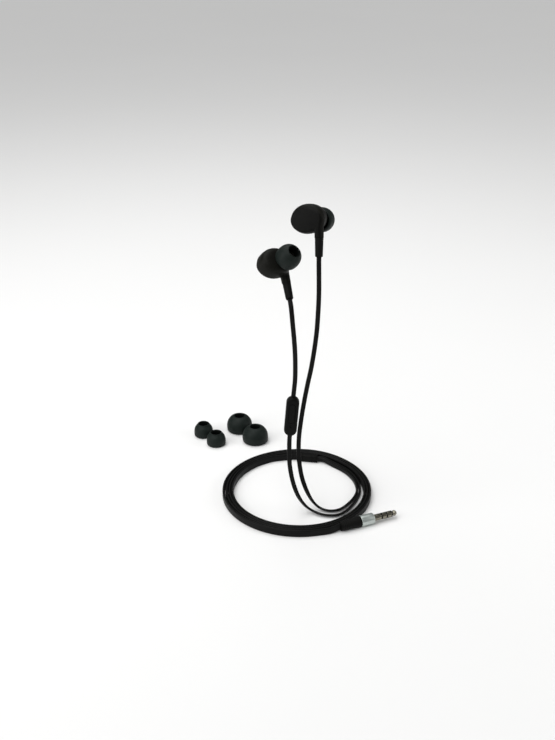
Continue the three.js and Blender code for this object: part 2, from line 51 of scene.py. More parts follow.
# ---------------------------------------------------------------- sizes
# Earbud: an oval housing with a flat rear face and a domed front, a stem and a nozzle.
OVAL_X, OVAL_Z, OVAL_TILT = 8.8, 7.3, math.radians(9)
PARTING_Y, FACE_Y, DOME_Y = -2.2, -4.7, 4.8
WALL = 1.0
STEM_X, STEM_R = 6.3, 2.2
STEM_SPLIT_Z, STEM_END_Z = -9.2, -18.3
SLEEVE_END_R, SLEEVE_BORE_R = 1.9, 0.9
NOZZLE_X, NOZZLE_Z = 3.2, -0.6
NECK_R, NECK_FLARE, NECK_START_Y, NECK_END_Y = 3.67, 0.1, 1.5, 5.5
NOZZLE_R, NOZZLE_START_Y, NOZZLE_END_Y = 2.15, 3.0, 10.2
NOZZLE_BORE_R, NOZZLE_BORE_START_Y = 1.55, 2.0
LIP_RING_R, LIP_ROUND_R, LIP_Y = 2.0, 0.45, 9.55

# The rear cover's face is crowned and carries a raised plate, set in further at the top.
FACE_CROWN, CROWN_REACH = 0.35, 9
PLATE_HEIGHT, PLATE_ROOT_Y = 0.3, -3.0
PLATE_INSET, PLATE_TOP_INSET = 0.45, 0.5
PLATE_SHIFT_X, PLATE_DROP_Z = 0.25, 0.7
PLATE_TOP_START, PLATE_TOP_RISE = -2, 8

# Eartips: the bore, the core round it, the skirt's thickness, and each size's radius and height.
TIP_BASE_Y = 5.0
TIP_BORE_R, TIP_CORE_R, TIP_SKIN = 2.6, 3.4, 0.65
TIPS = {"small": (5.7, 8.0), "medium": (6.2, 9.0), "large": (7.7, 9.8)}

# Cable: flat leads from each earbud to the splitter, then one wider cable that stands on edge.
LEAD_WIDTH, LEAD_THICK, MAIN_WIDTH = 2.4, 1.3, 3.9
LEAD_EDGE_R, LEAD_Z = 0.6, 1.3
# Inside the remote the left lead's jacket ends, and its wires run behind the button.
WIRE_SHARE, WIRES_BACK = 0.3, 1.12

# Coil, in degrees from +X: the first turn starts at the splitter and each turn lies outside the last.
COIL_CENTRE, COIL_STRETCH = (-0.2, 0.7), 1.035
COIL_FIRST_R, TURN_PITCH, COIL_TURNS, COIL_START = 35.9, 1.5, 3.5, 92
COIL_RUN_IN, COIL_RUN_OUT, COIL_STEP = 20, 12, 6.0
SPLITTER_BULGE, SPLITTER_BEARING, BULGE_SPREAD = 0.85, 75, 24.5
LAST_TURN_GAP, GAP_AT_TURN, GAP_SPREAD = 0.3, 3.25, 0.125
DRIFT, LIFT = 0.015, 0.04
COIL_SEED = 7

# Remote: two halves, a raised panel, a button on a flange, and a hole for the microphone.
REMOTE_LENGTH, REMOTE_WIDTH, REMOTE_DEPTH = 22.2, 6.7, 4.4
REMOTE_EDGE, REMOTE_WALL, REMOTE_SEAM = 1.3, 0.85, 0.03
JACKET_END = REMOTE_LENGTH / 2 - 1.6
PANEL_INSET_X, PANEL_INSET_Z, PANEL_PROUD = 1.15, 1.3, 0.1
BUTTON_LENGTH, BUTTON_WIDTH, BUTTON_Z = 11.0, 3.4, 2.2
BUTTON_PROUD, BUTTON_DEPTH, BUTTON_GAP = 0.32, 1.47, 0.12
FLANGE_Y, FLANGE_REACH, FLANGE_THICK = -1.2, 0.45, 0.28
DIMPLE_R, DIMPLE_DEPTH = 1.78, 0.18
MICROPHONE_Z, MICROPHONE_R = -5.4, 0.36

# Splitter: a bar grooved at both ends, with the two leads side by side at one of them.
SPLITTER_LENGTH, SPLITTER_WIDTH, SPLITTER_HEIGHT = 12.0, 3.9, 4.3
BRANCH_Y = {"right": -0.75, "left": 0.7}
GROOVE_DEPTH, GROOVE_PITCH, GROOVE_START_X, GROOVE_END_X = 0.16, 1.25, 2.4, 5.2

# Plug: a boot, a collar, and a pin of three contacts and a tip, with insulation between each.
BOOT_LENGTH, BOOT_START_R, BOOT_END_R, BOOT_BORE_R = 11.7, 2.6, 2.95, 0.9
BOOT_GROOVES, BOOT_GROOVE_Y, BOOT_GROOVE_PITCH, BOOT_GROOVE_DEPTH = 3, 1.3, 1.1, 0.16
COLLAR_R, COLLAR_BORE_R, COLLAR_LENGTH, COLLAR_GAP = 3.05, 2.15, 7.7, 0.06
PIN_R, PIN_BORE_R, PIN_LENGTH = 1.75, 0.85, 14.0
CONTACT_ENDS, RING_GAP = (4.3, 7.3, 10.3), 0.8

# How softly forms run into each other: most edges, the earbud's seam and its larger edges.
EASE, SEAM_EASE, SEAM = 0.2, 0.22, 0.05
STEM_BLEND, NECK_BLEND, LIP_BLEND = 1.1, 0.9, 0.25
FACE_EDGE, PLATE_EDGE, HOLLOW_EDGE = 2.4, 1.3, 1.2
DOME_POWER = 4.2

# How finely the smooth solids, the eartips and the leads are drawn.
BUD_STEP, REMOTE_STEP, SPLITTER_STEP = 0.2, 0.14, 0.12
TIP_STEP, LEAD_STEP = 0.28, 1.0
CORNER_POINTS = 5

# ---------------------------------------------------------------- places on the table
# An earbud by its stem's end, where its nozzle points and which way is up.
RIGHT_BUD = dict(end=(8.8, -14, 144.0), nozzle=(0.43, 0.866, -0.254), up=(0.006, 0.278, 0.96))
LEFT_BUD = dict(end=(-5.4, -18, 123.5), nozzle=(0.483, -0.54, 0.69), up=(-0.168, 0.716, 0.678))
REMOTE = dict(middle=(-4.1, -18, 58.6), up=(0.076, 0, 0.997))
SPLITTER = dict(middle=(6.0, 36.2), heading=math.radians(-10))
PLUG = dict(start=(21.5, -36.8), heading=math.radians(23.7))
SPARES = {
    "spare_eartip_small_1": ("small", (-56.4, 67.4)),
    "spare_eartip_small_2": ("small", (-48.2, 56.3)),
    "spare_eartip_large_1": ("large", (-34.7, 74.2)),
    "spare_eartip_large_2": ("large", (-24.8, 60.2)),
}
# Where the leads hang, from each stem down to the table; the left one passes through the remote.
RIGHT_ROUTE = [
    (8.9, -15.9, 134), (9.0, -16.1, 126), (8.8, -15.8, 116), (8.1, -15.4, 103),
    (5.9, -14.6, 85), (4.2, -14.3, 75.6), (2.5, -14.1, 65.4), (0.9, -14.0, 53.7),
    (-0.1, -14.0, 43.5), (-0.2, -14.0, 35.5), (0.3, -14.0, 27.7), (1.5, -14.1, 20.1),
    (3.1, -14.3, 14.4), (5.4, -14.8, 8.7), (7.8, -15.6, 4.8), (11.0, -16.7, 2.0),
    (14.3, -18.3, 1.3), (18.2, -19.1, 1.3),
]
LEFT_UPPER_ROUTE = [
    (-4.4, -21.9, 117.5), (-4.0, -22.3, 113), (-3.4, -21.7, 106.5), (-2.7, -20.5, 97),
    (-2.4, -19.3, 87.4), (-2.5, -18.4, 79),
]
LEFT_LOWER_ROUTE = [
    (-5.2, -18.0, 38), (-5.0, -18.0, 30), (-4.0, -18.0, 22.7), (-2.7, -18.1, 17),
    (-0.8, -18.3, 11.3), (1.2, -18.6, 7.5), (4.0, -19.0, 4.0), (7.6, -20.0, 1.8),
    (11.8, -22.3, 1.3), (16.5, -23.6, 1.3), (21.1, -22.9, 1.3),
]
# Inside the coil, each lead's distance from its middle at these bearings.
BRANCH_BEARINGS = (-38, -25, -12, 0, 18, 36, 54)
BRANCH_R = {
    "right": (28.6, 30.0, 31.6, 32.9, 33.8, 34.2, 34.5),
    "left": (32.1, 32.6, 33.4, 34.6, 35.3, 35.7, 36.0),
}
# How the main cable climbs from the table into the boot: along the plug's axis, and below it.
INTO_BOOT = ((-6.5, -0.9), (-3.5, -0.6), (-1.0, -0.2), (1.5, 0.0), (3.0, 0.0))


# ---------------------------------------------------------------- placing
def unit(v):
    v = np.array(v, float)
    return v / np.linalg.norm(v)


def bud_place(bud, mirror):
    """An earbud's axes as columns, and its origin on the table."""
    nozzle = unit(bud["nozzle"])
    across = unit(np.cross(nozzle, bud["up"]))
    up = np.cross(across, nozzle)
    end = np.array([mirror * STEM_X, PARTING_Y, STEM_END_Z])
    origin = np.array(bud["end"]) - np.column_stack((across, nozzle, up)) @ end
    return np.column_stack((mirror * across, nozzle, up)), origin


def mouth_on_table():
    """The middle of the right eartip's mouth."""
    axes, origin = bud_place(RIGHT_BUD, 1)
    return origin + axes @ (NOZZLE_X, TIP_BASE_Y + TIPS["medium"][1], NOZZLE_Z)


ORIGIN = mouth_on_table()


def placed(x_axis, y_axis, z_axis, origin):
    """The matrix from a piece's own millimetres, placed on the table, to the model's metres."""
    m = np.eye(4)
    for i, axis in enumerate((x_axis, y_axis, z_axis)):
        m[:3, i] = np.array(axis) * MM
    m[:3, 3] = (np.array(origin, float) - ORIGIN) * MM
    return m


def bud_matrix(bud, mirror):
    axes, origin = bud_place(bud, mirror)
    return placed(*axes.T, origin)


def remote_matrix():
    up = unit(REMOTE["up"])
    return placed(np.cross((0, 1, 0), up), (0, 1, 0), up, REMOTE["middle"])


def flat_matrix(at, z, heading):
    """The matrix of a piece that lies level, its X axis turned to a heading."""
    c, s = math.cos(heading), math.sin(heading)
    return placed((c, s, 0), (-s, c, 0), (0, 0, 1), (*at, z))


def move(matrix, points):
    return np.asarray(points, float) @ matrix[:3, :3].T + matrix[:3, 3]


RIGHT_FRAME = bud_matrix(RIGHT_BUD, 1)
LEFT_FRAME = bud_matrix(LEFT_BUD, -1)
REMOTE_FRAME = remote_matrix()
SPLITTER_FRAME = flat_matrix(SPLITTER["middle"], SPLITTER_HEIGHT / 2, SPLITTER["heading"])
PLUG_FRAME = flat_matrix(PLUG["start"], COLLAR_R, PLUG["heading"] - math.pi / 2)


# ---------------------------------------------------------------- pieces and curves
def mesh_piece(name, points, faces, matrix, made, stands_for, body="earphones"):
    """A smooth piece from points in its own millimetres, which rides on a body and stands for CAD
    nodes. A mirrored piece has its faces turned over, so that they still look outward."""
    world = Matrix(matrix.tolist())
    own = Matrix.LocRotScale(world.to_translation(), world.to_quaternion(), None)
    if world.determinant() < 0:
        faces = [f[::-1] for f in faces]
        own = Matrix.Translation(world.to_translation())
    local = move(np.array(own.inverted() @ world), points)
    mesh = bpy.data.meshes.new(name)
    mesh.from_pydata(local.tolist(), [], [list(map(int, f)) for f in faces])
    mesh.polygons.foreach_set("use_smooth", [True] * len(mesh.polygons))
    mesh.materials.append(made)
    mesh.validate()
    mesh.update()
    piece = bpy.data.objects.new(name, mesh)
    bpy.context.scene.collection.objects.link(piece)
    piece.matrix_world = own
    bpy.context.view_layer.update()
    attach(piece, body)
    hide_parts(*stands_for)
    return piece


def two_tone(piece, made, chosen, points, faces):
    """Gives a second material to the faces whose middle is chosen."""
    piece.data.materials.append(made)
    middles = np.array([points[list(dict.fromkeys(f))].mean(0) for f in faces])
    picks = chosen(*middles.T).astype(int)
    piece.data.polygons.foreach_set("material_index", picks.tolist())


def rounded(profile):
    """A closed outline from (x, y, radius) corners, each eased by a curve of about that radius."""
    out = []
    n = len(profile)
    for i, (x, y, r) in enumerate(profile):
        here = np.array([x, y], float)
        if r <= 0:
            out.append(here)
            continue
        before = np.array(profile[i - 1][:2], float) - here
        after = np.array(profile[(i + 1) % n][:2], float) - here
        reach = min(r, 0.49 * np.linalg.norm(before), 0.49 * np.linalg.norm(after))
        a, b = here + unit(before) * reach, here + unit(after) * reach
        for t in np.linspace(0, 1, CORNER_POINTS):
            out.append((1 - t) ** 2 * a + 2 * t * (1 - t) * here + t * t * b)
    return np.array(out)


def lathe(outline, segments=96):
    """Points and faces of a closed outline of (radius, height) turned about the Y axis."""
    turns = np.linspace(0, 2 * math.pi, segments, endpoint=False)
    points, rows = [], []
    for r, y in outline:
        if r < 1e-6:
            rows.append([len(points)] * segments)
            points.append((0, y, 0))
            continue
        rows.append(list(range(len(points), len(points) + segments)))
        points += [(r * math.cos(a), y, r * math.sin(a)) for a in turns]
    faces = []
    for a, b in zip(rows, rows[1:] + rows[:1]):
        for k in range(segments):
            m = (k + 1) % segments
            face = list(dict.fromkeys((a[k], b[k], b[m], a[m])))
            if len(face) > 2:
                faces.append(face)
    return np.array(points), faces


def catmull(points, step, closed=False):
    """A centripetal curve through the points, sampled about every step."""
    p = np.array(points, float)
    if closed:
        p = np.vstack((p[-1:], p, p[:2]))
    else:
        p = np.vstack((2 * p[0] - p[1], p, 2 * p[-1] - p[-2]))
    out = []
    for i in range(1, len(p) - 2):
        a, b, c, d = p[i - 1 : i + 3]
        t0 = 0
        t1 = max(np.linalg.norm(b - a), 1e-6) ** 0.5
        t2 = t1 + max(np.linalg.norm(c - b), 1e-6) ** 0.5
        t3 = t2 + max(np.linalg.norm(d - c), 1e-6) ** 0.5
        count = max(2, int(round(np.linalg.norm(c - b) / step)))
        for t in np.linspace(t1, t2, count, endpoint=False):
            ab = (t1 - t) / (t1 - t0) * a + (t - t0) / (t1 - t0) * b
            bc = (t2 - t) / (t2 - t1) * b + (t - t1) / (t2 - t1) * c
            cd = (t3 - t) / (t3 - t2) * c + (t - t2) / (t3 - t2) * d
            abc = (t2 - t) / (t2 - t0) * ab + (t - t0) / (t2 - t0) * bc
            bcd = (t3 - t) / (t3 - t1) * bc + (t - t1) / (t3 - t1) * cd
            out.append((t2 - t) / (t2 - t1) * abc + (t - t1) / (t2 - t1) * bcd)
    if not closed:
        out.append(p[-2])
    return np.array(out)


# ---------------------------------------------------------------- smooth solids from fields
def union(a, b, soft=EASE):
    """Two solids joined with a fillet. A field is negative inside its solid."""
    h = np.clip(0.5 + 0.5 * (b - a) / soft, 0, 1)
    return b + (a - b) * h - soft * h * (1 - h)


def common(a, b, soft=EASE):
    """What two solids share, with an eased edge."""
    return -union(-a, -b, soft)


def surface(field, low, high, step):
    """Points and faces of the closed surface where field is 0: one point in each cell that the surface
    passes through, moved onto it, and one face for each grid edge that crosses it."""
    axes = [np.arange(a - 1.5 * step, b + 2.5 * step, step) for a, b in zip(low, high)]
    value = field(*np.meshgrid(*axes, indexing="ij"))
    inside = value < 0
    n = [s - 1 for s in value.shape]
    corners = [(i, j, k) for i in (0, 1) for j in (0, 1) for k in (0, 1)]
    count = sum(inside[i : i + n[0], j : j + n[1], k : k + n[2]].astype(int) for i, j, k in corners)
    active = (count > 0) & (count < len(corners))
    number = -np.ones(n, int)
    number[active] = np.arange(active.sum())
    cells = np.argwhere(active)
    start = np.array([x[0] for x in axes])
    points = crossings(value, cells, corners) * step + start
    for _ in range(3):
        points = nearer(field, points, step)
    return points, np.vstack([faces_across(axis, inside, number) for axis in range(3)])


def crossings(value, cells, corners):
    """The middle of each cell's crossings between its corners, in cells."""
    total = np.zeros((len(cells), 3))
    hits = np.zeros((len(cells), 1))
    for a in corners:
        for axis in range(3):
            if a[axis]:
                continue
            b = tuple(1 if m == axis else a[m] for m in range(3))
            fa = value[tuple((cells + a).T)]
            fb = value[tuple((cells + b).T)]
            crossed = (fa < 0) != (fb < 0)
            share = np.where(crossed, fa / np.where(crossed, fa - fb, 1), 0)
            point = cells + a + np.outer(share, np.eye(3)[axis])
            total += point * crossed[:, None]
            hits += crossed[:, None]
    return total / hits


def nearer(field, points, step):
    """The points moved along the field's slope towards where it is 0."""
    h = step * 0.3
    x, y, z = points.T
    slope = np.stack(
        [
            field(x + h, y, z) - field(x - h, y, z),
            field(x, y + h, z) - field(x, y - h, z),
            field(x, y, z + h) - field(x, y, z - h),
        ],
        1,
    ) / (2 * h)
    steepness = np.maximum((slope**2).sum(1), 0.05)
    return points - slope * np.clip(field(x, y, z) / steepness, -step / 2, step / 2)[:, None]


def faces_across(axis, inside, number):
    """A face for each grid edge along an axis that leaves the solid, through the four cells round it."""
    u, v = (axis + 1) % 3, (axis + 2) % 3
    here = [slice(1, -1)] * 3
    here[axis] = slice(0, -1)
    there = list(here)
    there[axis] = slice(1, None)
    edges = np.argwhere(inside[tuple(here)] != inside[tuple(there)])
    edges[:, u] += 1
    edges[:, v] += 1
    leaving = inside[tuple(edges.T)]
    around = []
    for du, dv in ((0, 0), (1, 0), (1, 1), (0, 1)):
        cell = edges.copy()
        cell[:, u] -= 1 - du
        cell[:, v] -= 1 - dv
        around.append(number[tuple(cell.T)])
    quads = np.stack(around, 1)
    quads[~leaving] = quads[~leaving][:, ::-1]
    return quads


# ---------------------------------------------------------------- materials
MIX_SHARE, MIX_A, MIX_B, MIX_RESULT = 0, 6, 7, 2


def material(name, colour, roughness, metallic=0.0):
    """A new material, its shader, and the functions that add and link its nodes."""
    made = bpy.data.materials.new(name)
    made.use_nodes = True
    nodes, links = made.node_tree.nodes, made.node_tree.links
    shader = nodes["Principled BSDF"]
    shader.inputs["Base Color"].default_value = (*colour, 1)
    shader.inputs["Roughness"].default_value = roughness
    shader.inputs["Metallic"].default_value = metallic

    def add(kind, **settings):
        node = nodes.new(kind)
        for key, value in settings.items():
            if hasattr(node, key):
                setattr(node, key, value)
            else:
                node.inputs[key.replace("_", " ")].default_value = value
        return node

    return made, shader, add, links.new


def coordinates(add):
    return add("ShaderNodeTexCoord").outputs["Object"]


def noise(add, link, where, scale, detail=4.0, roughness=0.55):
    node = add("ShaderNodeTexNoise", Scale=scale, Detail=detail, Roughness=roughness)
    link(where, node.inputs["Vector"])
    return node.outputs["Fac"]


def remap(add, link, value, low, high, to_low=0.0, to_high=1.0):
    """A value stretched from one range to another."""
    node = add("ShaderNodeMapRange")
    for key, number in zip(("From Min", "From Max", "To Min", "To Max"), (low, high, to_low, to_high)):
        node.inputs[key].default_value = number
    link(value, node.inputs["Value"])
    return node.outputs["Result"]


def uneven(add, link, value, low, high):
    """A noise's usual range stretched to a range of roughness."""
    return remap(add, link, value, 0.3, 0.7, low, high)


def tint(add, link, share, one, other):
    """One colour mixed with another; each is a colour or a node's output."""
    node = add("ShaderNodeMix", data_type="RGBA")
    for socket, colour in ((node.inputs[MIX_A], one), (node.inputs[MIX_B], other)):
        if isinstance(colour, tuple):
            socket.default_value = (*colour, 1)
        else:
            link(colour, socket)
    link(share, node.inputs[MIX_SHARE])
    return node.outputs[MIX_RESULT]


def relief(add, link, heights, shader):
    """Bumps from (height, strength, distance) in metres, one on the other."""
    normal = None
    for height, strength, distance in heights:
        node = add("ShaderNodeBump", Strength=strength, Distance=distance)
        link(height, node.inputs["Height"])
        if normal is not None:
            link(normal, node.inputs["Normal"])
        normal = node.outputs["Normal"]
    link(normal, shader.inputs["Normal"])


def moulded(name, dark, light, roughness, grain, depth, gloss=0.07):
    """Moulded plastic or rubber: a fine grain, faint cloudiness, uneven gloss and a little dust."""
    made, shader, add, link = material(name, dark, roughness)
    where = coordinates(add)
    cloud = noise(add, link, where, 180.0, 5.0)
    specks = remap(add, link, noise(add, link, where, 4600.0, 1.0), 0.69, 0.78)
    dusty = tuple(c * 2.5 + 0.005 for c in light)
    colour = tint(add, link, specks, tint(add, link, cloud, dark, light), dusty)
    link(colour, shader.inputs["Base Color"])
    patchy = noise(add, link, where, 420.0, 3.0)
    link(uneven(add, link, patchy, roughness - 0.06, roughness + 0.08), shader.inputs["Roughness"])
    fine = noise(add, link, where, grain, 2.0, 0.6)
    relief(add, link, [(cloud, 0.25, 0.00006), (fine, 0.7, depth)], shader)
    shader.inputs["Specular IOR Level"].default_value = gloss
    return made


def turned_metal(name, colour, roughness, pitch, depth):
    """Metal turned on a lathe: fine uneven rings about the piece's own Y axis."""
    made, shader, add, link = material(name, colour, roughness, 1.0)
    where = coordinates(add)
    stretch = add("ShaderNodeMapping")
    stretch.inputs["Scale"].default_value = (0.02, 1.0, 0.02)
    link(where, stretch.inputs["Vector"])
    rings = noise(add, link, stretch.outputs["Vector"], 1.0 / pitch, 3.0, 0.7)
    wear = noise(add, link, where, 300.0, 4.0)
    darker = tuple(c * 0.82 for c in colour)
    link(tint(add, link, rings, darker, colour), shader.inputs["Base Color"])
    link(uneven(add, link, wear, roughness - 0.05, roughness + 0.08), shader.inputs["Roughness"])
    relief(add, link, [(rings, 0.6, depth)], shader)
    return made


def screen_mesh():
    """A steel screen pierced by fine holes."""
    made, shader, add, link = material("nozzle_mesh", (0.3, 0.3, 0.3), 0.4, 1.0)
    holes = add("ShaderNodeTexVoronoi", Scale=3600.0, Randomness=0.12)
    link(coordinates(add), holes.inputs["Vector"])
    steel = remap(add, link, holes.outputs["Distance"], 0.25, 0.42)
    colour = tint(add, link, steel, (0.004, 0.004, 0.004), (0.3, 0.3, 0.29))
    link(colour, shader.inputs["Base Color"])
    relief(add, link, [(steel, 0.8, 0.00006)], shader)
    return made


def board_mask():
    """Green solder mask with faint tracks under it."""
    made, shader, add, link = material("solder_mask", (0.01, 0.09, 0.04), 0.3)
    tracks = add("ShaderNodeTexBrick", Scale=420.0)
    link(coordinates(add), tracks.inputs["Vector"])
    shade = tint(add, link, tracks.outputs["Fac"], (0.012, 0.10, 0.045), (0.02, 0.17, 0.07))
    link(shade, shader.inputs["Base Color"])
    relief(add, link, [(tracks.outputs["Fac"], 0.4, 0.00002)], shader)
    return made


def amber_film():
    """A thin pressed film with a faint ripple."""
    made, shader, add, link = material("diaphragm_film", (0.42, 0.36, 0.2), 0.25)
    ripple = noise(add, link, coordinates(add), 900.0, 3.0)
    link(tint(add, link, ripple, (0.34, 0.28, 0.15), (0.5, 0.43, 0.26)), shader.inputs["Base Color"])
    relief(add, link, [(ripple, 0.4, 0.00003)], shader)
    return made


def pale_floor():
    """A matt surface, faintly clouded."""
    made, shader, add, link = material("pale_floor", (0.86, 0.86, 0.855), 0.75)
    cloud = noise(add, link, coordinates(add), 3.0, 3.0)
    link(tint(add, link, cloud, (0.85, 0.85, 0.845), (0.875, 0.875, 0.87)), shader.inputs["Base Color"])
    return made


SHELL = moulded(
    "soft_touch_shell", dark=(0.0055, 0.0055, 0.0044), light=(0.009, 0.009, 0.0074),
    roughness=0.42, grain=3600.0, depth=0.00008,
)
COVER = moulded(
    "satin_cover", dark=(0.0028, 0.0028, 0.0026), light=(0.005, 0.005, 0.0045),
    roughness=0.36, grain=3600.0, depth=0.00006,
)
RUBBER = moulded(
    "moulded_rubber", dark=(0.0035, 0.0035, 0.0032), light=(0.006, 0.006, 0.0056),
    roughness=0.5, grain=2600.0, depth=0.0001,
)
SILICONE = moulded(
    "eartip_silicone", dark=(0.0065, 0.0098, 0.0085), light=(0.0098, 0.0142, 0.0124),
    roughness=0.5, grain=2200.0, depth=0.00007, gloss=0.12,
)
# Painted shade: a darker material for the lining of the eartip's bore, standing in for the shade inside its
# hollow.
BORE_SHADE = moulded(
    "eartip_bore_shade", dark=(0.002, 0.0026, 0.0023), light=(0.0035, 0.0045, 0.004),
    roughness=0.6, grain=2200.0, depth=0.00005, gloss=0.03,
)
JACKET = moulded(
    "cable_jacket", dark=(0.0028, 0.0028, 0.0027), light=(0.005, 0.005, 0.0048),
    roughness=0.42, grain=2600.0, depth=0.0001, gloss=0.1,
)
PLASTIC = moulded(
    "black_insulator", dark=(0.005, 0.005, 0.005), light=(0.009, 0.009, 0.009),
    roughness=0.4, grain=4000.0, depth=0.00002,
)
ALUMINIUM = turned_metal("turned_aluminium", (0.56, 0.61, 0.585), 0.4, 0.00022, 0.00003)
NICKEL = turned_metal("nickel_contact", (0.27, 0.255, 0.205), 0.22, 0.0004, 0.00001)
STEEL = turned_metal("plain_steel", (0.5, 0.5, 0.51), 0.35, 0.0005, 0.00001)
COPPER = turned_metal("bare_copper", (0.72, 0.36, 0.2), 0.35, 0.0005, 0.00001)


# ---------------------------------------------------------------- cable
def table_point(matrix, point):
    """Where a point of a piece is on the table."""
    return move(matrix, [point])[0] / MM + ORIGIN


def on_coil(bearing, radius, z=LEAD_Z):
    """A point on the coil's slightly stretched circle."""
    a = math.radians(bearing)
    x = COIL_CENTRE[0] + radius * math.cos(a)
    y = COIL_CENTRE[1] + radius * COIL_STRETCH * math.sin(a)
    return (x, y, z)


def branch_points(side):
    """A lead's way round the inside of the coil and into the splitter."""
    start = SPLITTER_LENGTH / 2
    arc = [on_coil(bearing, radius) for bearing, radius in zip(BRANCH_BEARINGS, BRANCH_R[side])]
    inward = (start + 3, start, start - 1.6)
    return arc + [table_point(SPLITTER_FRAME, (x, BRANCH_Y[side], 0)) for x in inward]


def stem_points(matrix):
    """A lead's way out of an earbud's stem."""
    heights = (STEM_END_Z + 1.5, STEM_END_Z, STEM_END_Z - 3)
    return [table_point(matrix, (STEM_X, PARTING_Y, z)) for z in heights]


def remote_points():
    """The left lead's way through the remote."""
    outside = REMOTE_LENGTH / 2 + 2.5
    return [table_point(REMOTE_FRAME, (0, 0, z)) for z in (outside, JACKET_END, 0, -JACKET_END, -outside)]


def hump(value, middle, spread):
    """A smooth hump, 1 high."""
    return math.exp(-(((value - middle) / spread) ** 2))


def coil_points():
    """The main cable: out of the splitter, round the coil and on to the plug's boot. It bulges where it
    passes the splitter, and drifts and lifts a little everywhere."""
    random = np.random.default_rng(COIL_SEED)
    end = -SPLITTER_LENGTH / 2
    points = [table_point(SPLITTER_FRAME, (x, 0, 0)) for x in (end + 1.5, end, end - 1.5)]
    waves = [(random.uniform(0, 2 * math.pi), random.uniform(0.6, 1.0)) for _ in range(4)]
    last = COIL_START + 360 * COIL_TURNS + COIL_RUN_OUT
    for bearing in np.arange(COIL_START + COIL_RUN_IN, last, COIL_STEP):
        turn = (bearing - COIL_START) / 360
        angle = math.radians(bearing)
        drift = sum(a * math.sin(angle * (0.7 + k) + w) for k, (w, a) in enumerate(waves))
        from_splitter = (bearing - SPLITTER_BEARING + 180) % 360 - 180
        radius = COIL_FIRST_R + TURN_PITCH * turn + DRIFT * drift
        radius += SPLITTER_BULGE * hump(from_splitter, 0, BULGE_SPREAD) * (turn > 0.5)
        radius += LAST_TURN_GAP * hump(turn, GAP_AT_TURN, GAP_SPREAD)
        lift = LIFT * (1 + math.sin(angle * 1.7 + 1)) * (turn > 0.2)
        points.append(on_coil(bearing, radius, MAIN_WIDTH / 2 + lift))
    return points + [table_point(PLUG_FRAME, (0, y, z)) for y, z in INTO_BOOT]


def lead(name, points, widths, stands_for, width=LEAD_WIDTH, wires_at=None):
    """A flat lead that follows the points; widths are (share of its length, direction across it).
    Round wires_at, inside the remote, only its wires run on, behind the button."""
    path = catmull(points, LEAD_STEP)
    length = np.concatenate(([0], np.cumsum(np.linalg.norm(np.diff(path, axis=0), axis=1))))
    along = np.gradient(path, axis=0)
    along /= np.linalg.norm(along, axis=1)[:, None]
    turns = [share * length[-1] for share, _ in widths]
    across = np.stack([np.interp(length, turns, [w[i] for _, w in widths]) for i in range(3)], 1)
    across -= along * (across * along).sum(1)[:, None]
    across /= np.linalg.norm(across, axis=1)[:, None]
    thin = np.cross(along, across)
    w, t = width / 2, LEAD_THICK / 2
    section = rounded([(x, y, LEAD_EDGE_R) for x, y in ((w, t), (-w, t), (-w, -t), (w, -t))])
    count = len(section)
    bare = np.zeros((len(path), 1))
    if wires_at is not None:
        bare = np.clip(JACKET_END + 0.5 - np.linalg.norm(path - wires_at, axis=1), 0, 1)[:, None]
    line = path + bare * np.array((0, WIRES_BACK, 0))
    size = 1 - (1 - WIRE_SHARE) * bare
    rows = [
        p + s * (np.outer(section[:, 0], a) + np.outer(section[:, 1], b))
        for p, s, a, b in zip(line, size, across, thin)
    ]
    faces = []
    for i in range(len(path) - 1):
        for k in range(count):
            m = (k + 1) % count
            faces.append((i * count + k, i * count + m, (i + 1) * count + m, (i + 1) * count + k))
    last = (len(path) - 1) * count
    faces += [list(range(count))[::-1], [last + k for k in range(count)]]
    matrix = placed(*np.eye(3), (0, 0, 0))
    piece = mesh_piece(name, np.vstack(rows), faces, matrix, JACKET, stands_for)
    return piece, move(matrix, path), length[-1] * MM


FACING, LYING, ON_EDGE = (1, 0.1, 0), (0.1, -0.85, 0.5), (0, 0, 1)
right_lead, right_path, right_length = lead(
    "right_lead", [*stem_points(RIGHT_FRAME), *RIGHT_ROUTE, *branch_points("right")],
    [(0, FACING), (0.56, FACING), (0.65, LYING), (0.7, LYING), (0.8, ON_EDGE), (1, ON_EDGE)],
    ["right_cable"],
)
left_points = [
    *stem_points(LEFT_FRAME), *LEFT_UPPER_ROUTE, *remote_points(), *LEFT_LOWER_ROUTE,
    *branch_points("left"),
]
left_lead, left_path, left_length = lead(
    "left_lead", left_points,
    [(0, FACING), (0.48, FACING), (0.59, LYING), (0.65, LYING), (0.77, ON_EDGE), (1, ON_EDGE)],
    ["left_cable_upper", "left_cable_lower"], wires_at=REMOTE["middle"],
)
main_lead, main_path, main_length = lead(
    "main_lead", coil_points(), [(0, ON_EDGE), (1, ON_EDGE)],
    ["main_cable_start", "main_cable_coil", "main_cable_end"], MAIN_WIDTH,
)


# ---------------------------------------------------------------- earbuds
def oval(x, z):
    """How far out a point is in the housing's oval: 1 on its outline."""
    c, s = math.cos(OVAL_TILT), math.sin(OVAL_TILT)
    return np.hypot((x * c + z * s) / OVAL_X, (z * c - x * s) / OVAL_Z)


def body_field(x, y, z):
    """The domed half of the housing with its stem, as one smooth form."""
    deep = y - PARTING_Y
    forward = np.abs(deep / (DOME_Y - PARTING_Y))
    size = (oval(x, z) ** DOME_POWER + forward**DOME_POWER) ** (1 / DOME_POWER)
    housing = np.sqrt(x**2 + deep**2 + z**2) * (1 - 1 / np.maximum(size, 1e-3))
    stem = np.sqrt((x - STEM_X) ** 2 + deep**2 + np.maximum(z, 0) ** 2) - STEM_R
    return union(housing, stem, STEM_BLEND)


def outline_field(x, z):
    """The earbud's outline seen from its face."""
    housing = np.hypot(x, z) * (1 - 1 / np.maximum(oval(x, z), 1e-3))
    stem = np.hypot(x - STEM_X, np.maximum(z, 0)) - STEM_R
    return union(housing, stem, STEM_BLEND)


